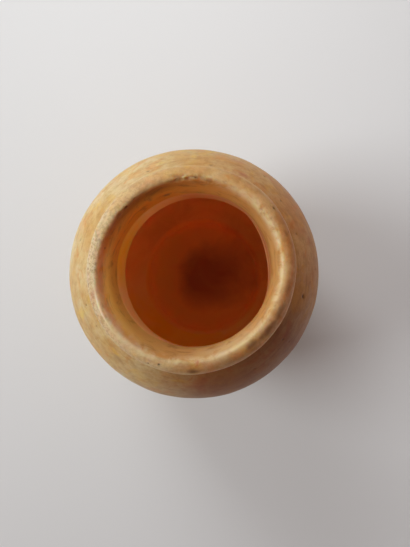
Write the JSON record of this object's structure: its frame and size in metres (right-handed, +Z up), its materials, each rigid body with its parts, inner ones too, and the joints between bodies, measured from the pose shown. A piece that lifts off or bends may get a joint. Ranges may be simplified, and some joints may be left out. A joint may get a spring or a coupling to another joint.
{
  "type": "alabaster vase",
  "caption": "Hollow carved stone vase with an egg-shaped body on a flat base, a short neck and a thick everted lip, open at the top to hold liquid or dry goods.",
  "frame": {"origin": "centre of the flat underside, where the body's axis meets the surface that the vase stands on", "axes": "+Z up the body's axis towards the mouth, +X to the right and +Y to the top of the reference view from above"},
  "size_m": [0.1, 0.1, 0.12],
  "materials": {
    "alabaster": "worn polish, mottled honey and cream, translucent where thin"
  },
  "bodies": {
    "root": {"vase": "alabaster"}
  },
  "joints": []
}
